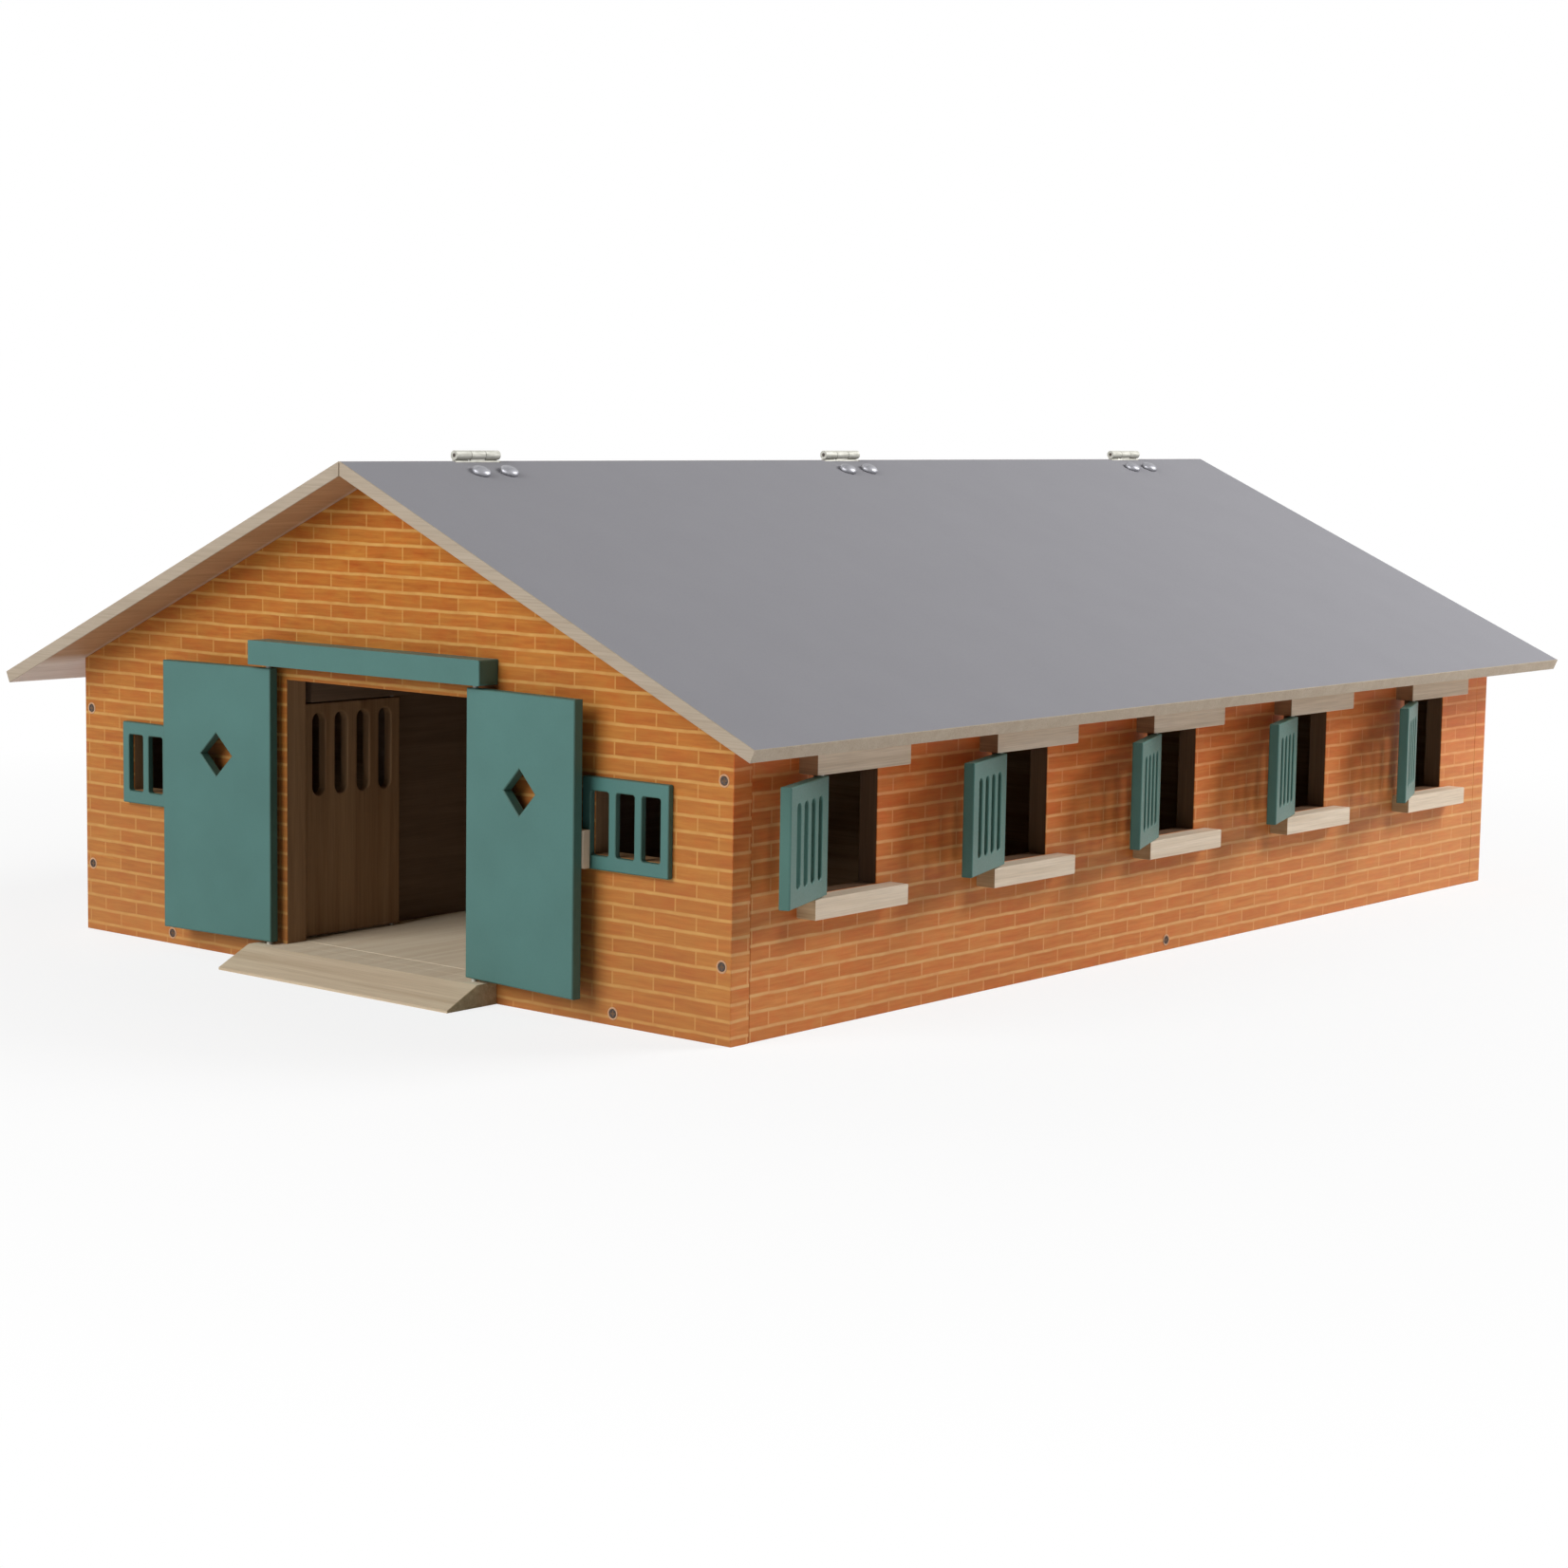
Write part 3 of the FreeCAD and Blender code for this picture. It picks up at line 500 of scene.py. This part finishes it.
def side_wall(side_name, side):
    wall = Shape(wall_print, painted_shade_ply_y, painted_shade_reveal)
    outline = rectangle(-INNER_LENGTH, INNER_LENGTH, 0, WALL_HEIGHT - WALL_GAP)
    windows = [rectangle(c - WINDOW_HALF_WIDTH, c + WINDOW_HALF_WIDTH, WINDOW_LOW, WINDOW_HIGH)
               for c in STALLS]
    where = upright((side * INNER_WIDTH, 0, 0), (0, side, 0))
    wall.plate(outline, windows, 0, WALL, SAWN_EASE, where, rim=0)
    wall.done(f"{side_name}_wall_board", "building", "printed_board", f"{side_name}_wall")


def window_blocks(side_name, side, kind, low, high, ends):
    """The sills or the lintels of one side wall."""
    blocks = Shape(pale_y, ends)
    inner, outer = sorted((side * HALF_WIDTH, side * (HALF_WIDTH + BLOCK_DEPTH)))
    for c in STALLS:
        blocks.block((inner, c - BLOCK_HALF_LENGTH, low), (outer, c + BLOCK_HALF_LENGTH, high), BLOCK_EASE)
    blocks.mark_ends(1, "y")
    blocks.done(f"{side_name}_{kind}_blocks", "building", "plain_wood", f"{side_name}_window_{kind}s")


for side_name, side in SIDES:
    side_wall(side_name, side)
    window_blocks(side_name, side, "sill", WINDOW_LOW - SILL_HEIGHT, WINDOW_LOW, sill_end)
    window_blocks(side_name, side, "lintel", WINDOW_HIGH, WINDOW_HIGH + LINTEL_HEIGHT, painted_shade_lintel_end)


# Leaves that swing: shutters, stall doors and entrance doors. Each outline starts at its rod's axis.

LEAF = 5
SHUTTER_WIDTH, SHUTTER_HEIGHT, SHUTTER_EDGE = 47, 50.4, 2.6
SHUTTER_SLOTS = dict(rise=SHUTTER_HEIGHT / 2, pitch=9, width=4.5, length=35.4)
SHUTTER_ROD_OUT, SHUTTER_ROD_BACK, SHUTTER_GAP = 7, 25.5, 0.8
SHUTTER_ANGLES = (20, 18, 22, 19, 22.5)
STALL_DOOR_WIDTH, STALL_DOOR_HEIGHT, STALL_DOOR_EDGE = 61.5, 110, 3
STALL_DOOR_SLOTS = dict(rise=86, pitch=14, width=8, length=39)
STALL_ROD_X, STALL_ROD_BACK, STALL_DOOR_GAP = 68, 1.8, 1
DOOR_WIDTH, DOOR_HEIGHT, DOOR_EDGE = 70, 127.5, 3.2
DOOR_ROD_X, DOOR_ROD_OUT, DOOR_GAP = 67.4, 6, 1.5
DOOR_ANGLE = 4.6
DIAMOND_RISE, DIAMOND_REACH = 85, 10
HANDLE_WIDTH, HANDLE_LOW, HANDLE_HIGH, HANDLE_DEPTH = 9, 55.5, 72, 5


def leaf_frame(x, y, z, degrees):
    """The frame of a leaf that turns about an upright axis."""
    turn = math.radians(degrees)
    return upright((x, y, z), (math.cos(turn), math.sin(turn), 0))


def slots_about(middle, rise, pitch, width, length):
    """Four upright slots with round ends, side by side."""
    return [rounded(middle + (i - 1.5) * pitch, rise, width, length, width / 2 - HAIR) for i in range(4)]


def leaf(name, materials, size, edge, holes, where, slot):
    """A swinging board that reaches past its rod's axis by edge."""
    shape = Shape(*materials)
    outline = rectangle(-edge, size[0] - edge, 0, size[1])
    shape.plate(outline, holes, -LEAF / 2, LEAF / 2, LEAF_EASE, where)
    shape.done(f"{name}_leaf", name, slot, name)


def shutter(name, side, c, degrees):
    slots = slots_about(SHUTTER_WIDTH / 2 - SHUTTER_EDGE, **SHUTTER_SLOTS)
    where = leaf_frame(side * (HALF_WIDTH + SHUTTER_ROD_OUT), c - SHUTTER_ROD_BACK, WINDOW_LOW + SHUTTER_GAP,
                       degrees)
    leaf(name, (shutter_green, shutter_green, shutter_edge), (SHUTTER_WIDTH, SHUTTER_HEIGHT), SHUTTER_EDGE,
         slots, where, "green_paint")


def stall_door(name, side, c):
    slots = slots_about(STALL_DOOR_WIDTH / 2 - STALL_DOOR_EDGE, **STALL_DOOR_SLOTS)
    where = leaf_frame(side * STALL_ROD_X, c - STALL_ROD_BACK, FLOOR + STALL_DOOR_GAP, 270)
    leaf(name, (ply_z, ply_z, ply_z), (STALL_DOOR_WIDTH, STALL_DOOR_HEIGHT), STALL_DOOR_EDGE, slots, where,
         "plain_wood")


def entrance_door(name, side):
    """An entrance door with its diamond, and the handle block on its outer face."""
    degrees = -DOOR_ANGLE if side > 0 else 180 + DOOR_ANGLE
    where = leaf_frame(side * DOOR_ROD_X, -HALF_LENGTH - DOOR_ROD_OUT, FLOOR + DOOR_GAP, degrees)
    middle, free = DOOR_WIDTH / 2 - DOOR_EDGE, DOOR_WIDTH - DOOR_EDGE
    diamond = ring_of([(middle + DIAMOND_REACH, DIAMOND_RISE), (middle, DIAMOND_RISE + DIAMOND_REACH),
                       (middle - DIAMOND_REACH, DIAMOND_RISE), (middle, DIAMOND_RISE - DIAMOND_REACH)])
    leaf(name, (green, green, green_edge), (DOOR_WIDTH, DOOR_HEIGHT), DOOR_EDGE, [diamond], where,
         "green_paint")
    handle = Shape(pale_z)
    low, high = sorted((-side * LEAF / 2, -side * (LEAF / 2 + HANDLE_DEPTH)))
    handle.plate(rectangle(free - HANDLE_WIDTH, free, HANDLE_LOW, HANDLE_HIGH), [], low, high, HANDLE_EASE,
                 where, (0, 0, 0))
    handle.done(f"{name}_handle_block", name, "plain_wood", f"{name}_handle")


for side_name, side in SIDES:
    for k, (c, opened) in enumerate(zip(STALLS, SHUTTER_ANGLES), 1):
        shutter(f"{side_name}_shutter_{k}", side, c, 270 + opened if side > 0 else 90)
        stall_door(f"{side_name}_stall_door_{k}", side, c)
for side_name, side in SIDES:
    entrance_door(f"{side_name}_door", side)


# Entrance: rail, ramp and the barred windows.

ENTRANCE_HALF_WIDTH = 75.4
RAIL_DEPTH, RAIL_LOW, RAIL_HIGH = 12, 140.5, 151.7
RAMP_DEPTH, RAMP_TOE, RAMP_TOP_BAND = 30, 1.2, 0.5
FRAME_WIDTH, FRAME_HEIGHT, FRAME_RADIUS, FRAME = 49, 39.5, 0.6, 3


def profile_at(x):
    """The frame of an outline in Y and Z that runs along X."""
    return upright((x, 0, 0), (0, 1, 0))


rail = Shape(green, green_edge)
rail.plate(rectangle(-HALF_LENGTH - RAIL_DEPTH, -HALF_LENGTH, RAIL_LOW, RAIL_HIGH), [], -ENTRANCE_HALF_WIDTH,
           ENTRANCE_HALF_WIDTH, RAIL_EASE, profile_at(0), (1, 1, 0))
rail.done("rail_board", "building", "green_paint", "door_rail")

ramp = Shape(pale_x_painted_shade, floor_pine_painted_light, sill_end)
toe, top = -HALF_LENGTH - RAMP_DEPTH, -HALF_LENGTH - RAIL_DEPTH
slope = ring_of([(toe, 0), (-HALF_LENGTH, 0), (-HALF_LENGTH, FLOOR), (top, FLOOR), (toe, RAMP_TOE)])
ramp.plate(slope, [], -ENTRANCE_HALF_WIDTH, ENTRANCE_HALF_WIDTH, SAWN_EASE, profile_at(0), (0, 0, 0))
# The flat top takes the lighter floor pine as painted light, and the slope a darker pine as painted shade.
ramp.mark_where(1, lambda spot: spot.z > FLOOR - RAMP_TOP_BAND)
ramp.mark_ends(2, "x")
ramp.done("ramp_board", "building", "plain_wood", "entrance_ramp")

panes = [rounded(i * PANE_PITCH, 0, PANE_WIDTH, PANE_HEIGHT, PANE_RADIUS) for i in (-1, 0, 1)]
for side_name, side in SIDES:
    bars = Shape(green, green, green_edge)
    bars.plate(rounded(0, 0, FRAME_WIDTH, FRAME_HEIGHT, FRAME_RADIUS, 2), panes, 0, FRAME, BLOCK_EASE,
               upright((side * FRONT_WINDOW_X, -HALF_LENGTH, FRONT_WINDOW_Z), (1, 0, 0)))
    bars.done(f"{side_name}_barred_window", "building", "green_paint", f"{side_name}_front_window")


# Stalls: fronts, battens and partitions.

AISLE_HALF_WIDTH, STALL_FRONT, STALL_TOP = 72.5, 6, 134
STALL_DOORWAY, STALL_DOORWAY_TOP = (-56.55, -2.55), 119
BATTEN_ENDS, BATTEN_DEPTH, BATTEN_LOW = (-58, 4), 10, 122
PARTITION, PARTITION_TOP = 6, 110


def stall_front(side_name, side):
    outline = [(-INNER_LENGTH, FLOOR)]
    for c in STALLS:
        left, right = [c + jamb for jamb in STALL_DOORWAY]
        outline += [(left, FLOOR), (left, STALL_DOORWAY_TOP), (right, STALL_DOORWAY_TOP), (right, FLOOR)]
    outline += [(INNER_LENGTH, FLOOR), (INNER_LENGTH, STALL_TOP), (-INNER_LENGTH, STALL_TOP)]
    near = min(side * AISLE_HALF_WIDTH, side * (AISLE_HALF_WIDTH + STALL_FRONT))
    front = Shape(painted_shade_ply_y)
    front.plate(ring_of(outline), [], 0, STALL_FRONT, SAWN_EASE, profile_at(near), (0, 0, 0))
    front.done(f"{side_name}_stall_board", "building", "plain_wood", f"{side_name}_stall_front")


def stall_battens(side_name, side):
    battens = Shape(painted_shade_ply_y)
    inner, outer = sorted((side * (AISLE_HALF_WIDTH - BATTEN_DEPTH), side * AISLE_HALF_WIDTH))
    for c in STALLS:
        low, high = [c + reach for reach in BATTEN_ENDS]
        battens.block((inner, low, BATTEN_LOW), (outer, high, STALL_TOP), BLOCK_EASE)
    battens.done(f"{side_name}_batten_blocks", "building", "plain_wood", f"{side_name}_stall_battens")


def partitions(side_name, side):
    inner, outer = sorted((side * (AISLE_HALF_WIDTH + STALL_FRONT), side * INNER_WIDTH))
    for k, (c, following) in enumerate(zip(STALLS, STALLS[1:]), 1):
        middle = (c + following) / 2
        board = Shape(ply_x)
        board.block((inner, middle - PARTITION / 2, FLOOR), (outer, middle + PARTITION / 2, PARTITION_TOP),
                    SAWN_EASE)
        board.done(f"{side_name}_partition_board_{k}", "building", "plain_wood",
                   f"{side_name}_partition_{k}")


for side_name, side in SIDES:
    stall_front(side_name, side)
    stall_battens(side_name, side)
    partitions(side_name, side)


# Roof boards, mitred at the ridge and notched for the hinges.

ROOF_BODIES = {"left": "building", "right": "right_roof"}
OVERHANG, VERGE_BAND = 24, 0.5
ROOF_END = HALF_LENGTH + OVERHANG
RIDGE_GAP, NOTCH_REACH, EAVE_REACH = 0.3, 1.45, 241
NOTCH_HALF_LENGTH = 14.2
MITRE_ZONE = 5
ridge_edge, notch_edge, eave_edge = [x / math.cos(PITCH) for x in (RIDGE_GAP, NOTCH_REACH, EAVE_REACH)]


def mitre(spot):
    """Turns the edge at the ridge upright."""
    if spot.x > MITRE_ZONE:
        return spot
    return Vector((spot.x - spot.z * math.tan(PITCH), spot.y, spot.z))


def roof_frame(side):
    along = (side * math.cos(PITCH), 0, -math.sin(PITCH))
    return facing((0, 0, RIDGE_TOP), along, (0, side, 0))


def roof_board(side_name, side, underside):
    ridge = []
    for y in sorted(side * y for y in HINGES):
        low, high = y - NOTCH_HALF_LENGTH, y + NOTCH_HALF_LENGTH
        ridge += [(ridge_edge, low), (notch_edge, low), (notch_edge, high), (ridge_edge, high)]
    outline = [(ridge_edge, -ROOF_END), (eave_edge, -ROOF_END), (eave_edge, ROOF_END),
               (ridge_edge, ROOF_END)]
    roof = Shape(grey, underside, edge_y, edge_x)
    roof.plate(ring_of(outline + ridge[::-1]), [], -ROOF, 0, ROOF_EASE, roof_frame(side), shear=mitre)
    roof.mark_where(3, lambda spot: abs(spot.y) > ROOF_END - VERGE_BAND, only=2)
    roof.done(f"{side_name}_roof_board", ROOF_BODIES[side_name], "roof_paint", f"{side_name}_roof_panel")


roof_board("left", -1, soffit_pine_painted_shade)
roof_board("right", 1, under_pine)


# Hinges and their pins, and the pivot rods.

WELD = 0.00001


def hinge_leaves(node, body):
    """A copy of a steel node, welded so that its round faces can be shaded smooth."""
    shape = bmesh.new()
    shape.from_mesh(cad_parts[node].data)
    bmesh.ops.remove_doubles(shape, verts=shape.verts, dist=WELD)
    mesh = bpy.data.meshes.new(f"{node}_steel")
    shape.to_mesh(mesh)
    shape.free()
    mesh.materials.clear()
    mesh.materials.append(steel)
    mesh.polygons.foreach_set("material_index", [0] * len(mesh.polygons))
    shade_round_faces(mesh)
    add_piece(f"{node}_steel", mesh, body, "steel", node)


hinge_leaves("left_hinge_leaves", "building")
hinge_leaves("right_hinge_leaves", "right_roof")
finishes = {"ridge_hinge_pins": dark_steel, "door_pivot_rods": steel, "shutter_pivot_rods": steel,
            "stall_door_pivot_rods": steel}
for node, finish in finishes.items():
    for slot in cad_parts[node].material_slots:
        slot.material = finish


# Domed hinge bolts with nuts under the boards. Profiles are (radius, height) pairs.

BOLT_REACH, BOLT_OFFSET = 13.4, 9
HEAD_RADIUS, HEAD_BAND, DOME_RISE = 4.6, 1, 2.1
DOME_ANGLES = [math.radians(degrees) for degrees in (15, 30, 45, 60, 75, 86)]
HEAD = [(HEAD_RADIUS - 0.2, 0), (HEAD_RADIUS, 0.3), (HEAD_RADIUS, HEAD_BAND)]
HEAD += [(HEAD_RADIUS * math.cos(t), HEAD_BAND + DOME_RISE * math.sin(t)) for t in DOME_ANGLES]
NUT = [(2.6, -3.5), (3.4, -3.2), (3.4, -1.3), (2.6, -1)]
SHANK = [(1.4, -5.2), (1.4, -1)]

for side_name, side in SIDES:
    bolts = Shape(bolt_steel)
    for y in HINGES:
        for offset in (-BOLT_OFFSET, BOLT_OFFSET):
            spot = roof_frame(side) @ Matrix.Translation((BOLT_REACH, side * (y + offset), 0))
            under = spot @ Matrix.Translation((0, 0, -ROOF))
            bolts.turned(HEAD, spot)
            bolts.turned(NUT, under, steps=6)
            bolts.turned(SHANK, under, steps=12)
    bolts.done(f"{side_name}_hinge_bolts", ROOF_BODIES[side_name], "steel", smooth=True)


# Countersunk screws: a crossed head, the floor of its cross in painted shade, and the torn ring of board
# around it.

GABLE_SCREWS = ((205, 110), (205, 33), (144.5, 5.3))
WALL_SCREW_Z = 5.2
SCREW_SINK, SCREW_RISE, CROSS_FLOOR, RING_RISE = -0.3, 0.14, 0.04, 0.3
SCREW_WIDTH, RING_INNER, RING_OUTER = 3.9, 4.1, 5.6
CROSS_FLOOR_RADIUS, SCREW_EASE, RING_EASE = 1.9, 0.08, 0.25
CROSS_HALF_WIDTH, CROSS_REACH = 0.4, 1.35


def cross(half_width, reach):
    """A plus sign, made of one quarter turned four times."""
    quarter, ring = [(half_width, -reach), (half_width, -half_width), (reach, -half_width)], []
    for _ in range(4):
        ring += quarter
        quarter = [(-y, x) for x, y in quarter]
    return ring_of(ring)


def screw(shape, spot):
    recess = cross(CROSS_HALF_WIDTH, CROSS_REACH)
    shape.plate(disc(SCREW_WIDTH), [recess], SCREW_SINK, SCREW_RISE, SCREW_EASE, spot, (0, 0, 0))
    shape.turned([(CROSS_FLOOR_RADIUS, SCREW_SINK), (CROSS_FLOOR_RADIUS, CROSS_FLOOR)], spot, 1, 16)
    shape.plate(disc(RING_OUTER), [disc(RING_INNER)], SCREW_SINK, RING_RISE, RING_EASE, spot, (2, 2, 2))


screws = Shape(dark_steel, painted_shade_reveal, torn)
for end in (-1, 1):
    for x, z in GABLE_SCREWS:
        for _, side in SIDES:
            screw(screws, upright((side * x, end * HALF_LENGTH, z), (-end, 0, 0)))
for _, side in SIDES:
    screw(screws, upright((side * HALF_WIDTH, 0, WALL_SCREW_Z), (0, side, 0)))
screws.done("wood_screws", "building", "steel", smooth=True)


# Stage: floor, light and camera, in metres.

STAGE_REACH = 8
SHADOW_REACH, CLEAR_REACH, GLOW_AT_OBJECT = 0.42, 0.9, 0.8
AMBIENT = 0.01
LIGHT_TARGET = Vector((0, 0, 0.1))
CAMERA_PLACE = (1.0262, -1.2874, 0.2597)
CAMERA_TURN, CAMERA_TILT, CAMERA_ROLL = [math.radians(degrees) for degrees in (39.876, 83.314, 0.891)]


def seen(tree):
    """1 for what the camera sees, straight or in a reflection, and 0 for light on the object."""
    path = tree.nodes.new("ShaderNodeLightPath")
    most = path.outputs["Is Camera Ray"]
    for name in ("Is Glossy Ray", "Is Transmission Ray"):
        larger = tree.nodes.new("ShaderNodeMath")
        larger.operation = "MAXIMUM"
        tree.links.new(most, larger.inputs[0])
        tree.links.new(path.outputs[name], larger.inputs[1])
        most = larger.outputs[0]
    return most


def stage_floor():
    """A white floor that keeps part of the object's shadow near it."""
    mesh = bpy.data.meshes.new("stage_floor")
    corners = [(x * STAGE_REACH, y * STAGE_REACH, 0) for x, y in ((-1, -1), (1, -1), (1, 1), (-1, 1))]
    mesh.from_pydata(corners, [], [(0, 1, 2, 3)])
    f = Finish("stage_white")
    f.surface(Base_Color=(0.95, 0.95, 0.95, 1), Roughness=0.9, Specular_IOR_Level=0.1)
    glow = f.add("Emission", {"Color": (1, 1, 1, 1), "Strength": 1})
    place = f.add("TexCoord", {}, output="Object")
    apart = f.add("VectorMath", {0: place}, output="Value", operation="LENGTH")
    share = f.math("MULTIPLY", seen(f.tree), f.level(apart, SHADOW_REACH, CLEAR_REACH, GLOW_AT_OBJECT, 1))
    blend = f.add("MixShader", {0: share, 1: f.shader.outputs[0], 2: glow})
    f.tree.links.new(blend, f.tree.nodes["Material Output"].inputs["Surface"])
    mesh.materials.append(f.material)
    thing = bpy.data.objects.new("stage_floor", mesh)
    scene.collection.objects.link(thing)


def world_light():
    """A white backdrop that lights the object only faintly."""
    world = bpy.data.worlds.new("studio")
    scene.world = world
    world.use_nodes = True
    tree = world.node_tree
    tree.nodes.clear()
    blend = tree.nodes.new("ShaderNodeMixShader")
    tree.links.new(seen(tree), blend.inputs[0])
    for socket, strength in ((1, AMBIENT), (2, 1)):
        backdrop = tree.nodes.new("ShaderNodeBackground")
        backdrop.inputs["Color"].default_value = (1, 1, 1, 1)
        backdrop.inputs["Strength"].default_value = strength
        tree.links.new(backdrop.outputs[0], blend.inputs[socket])
    out = tree.nodes.new("ShaderNodeOutputWorld")
    tree.links.new(blend.outputs[0], out.inputs["Surface"])


def softbox(name, place, size, power):
    data = bpy.data.lights.new(name, "AREA")
    data.shape = "DISK"
    data.size = size
    data.energy = power
    lamp = bpy.data.objects.new(name, data)
    lamp.location = place
    lamp.rotation_euler = (LIGHT_TARGET - Vector(place)).to_track_quat("-Z", "Y").to_euler()
    scene.collection.objects.link(lamp)


stage_floor()
world_light()
softbox("front_light", (-0.44, -2.49, 1.33), 2, 53)
softbox("rear_right_light", (1.2, 1.18, 1.24), 1, 35)
softbox("left_fill_light", (-2.2, 0.4, 1.3), 1.6, 14)

camera = bpy.data.cameras.new("camera")
camera.sensor_width = 36
camera.lens = 71.557
camera.shift_x = 0.01332
camera.shift_y = -0.00433
camera.clip_end = 50
eye = bpy.data.objects.new("camera", camera)
aim = Matrix.Rotation(CAMERA_TURN, 4, "Z") @ Matrix.Rotation(CAMERA_TILT, 4, "X")
eye.matrix_world = Matrix.Translation(CAMERA_PLACE) @ aim @ Matrix.Rotation(CAMERA_ROLL, 4, "Z")
scene.collection.objects.link(eye)
scene.camera = eye
scene.view_settings.view_transform = "Standard"
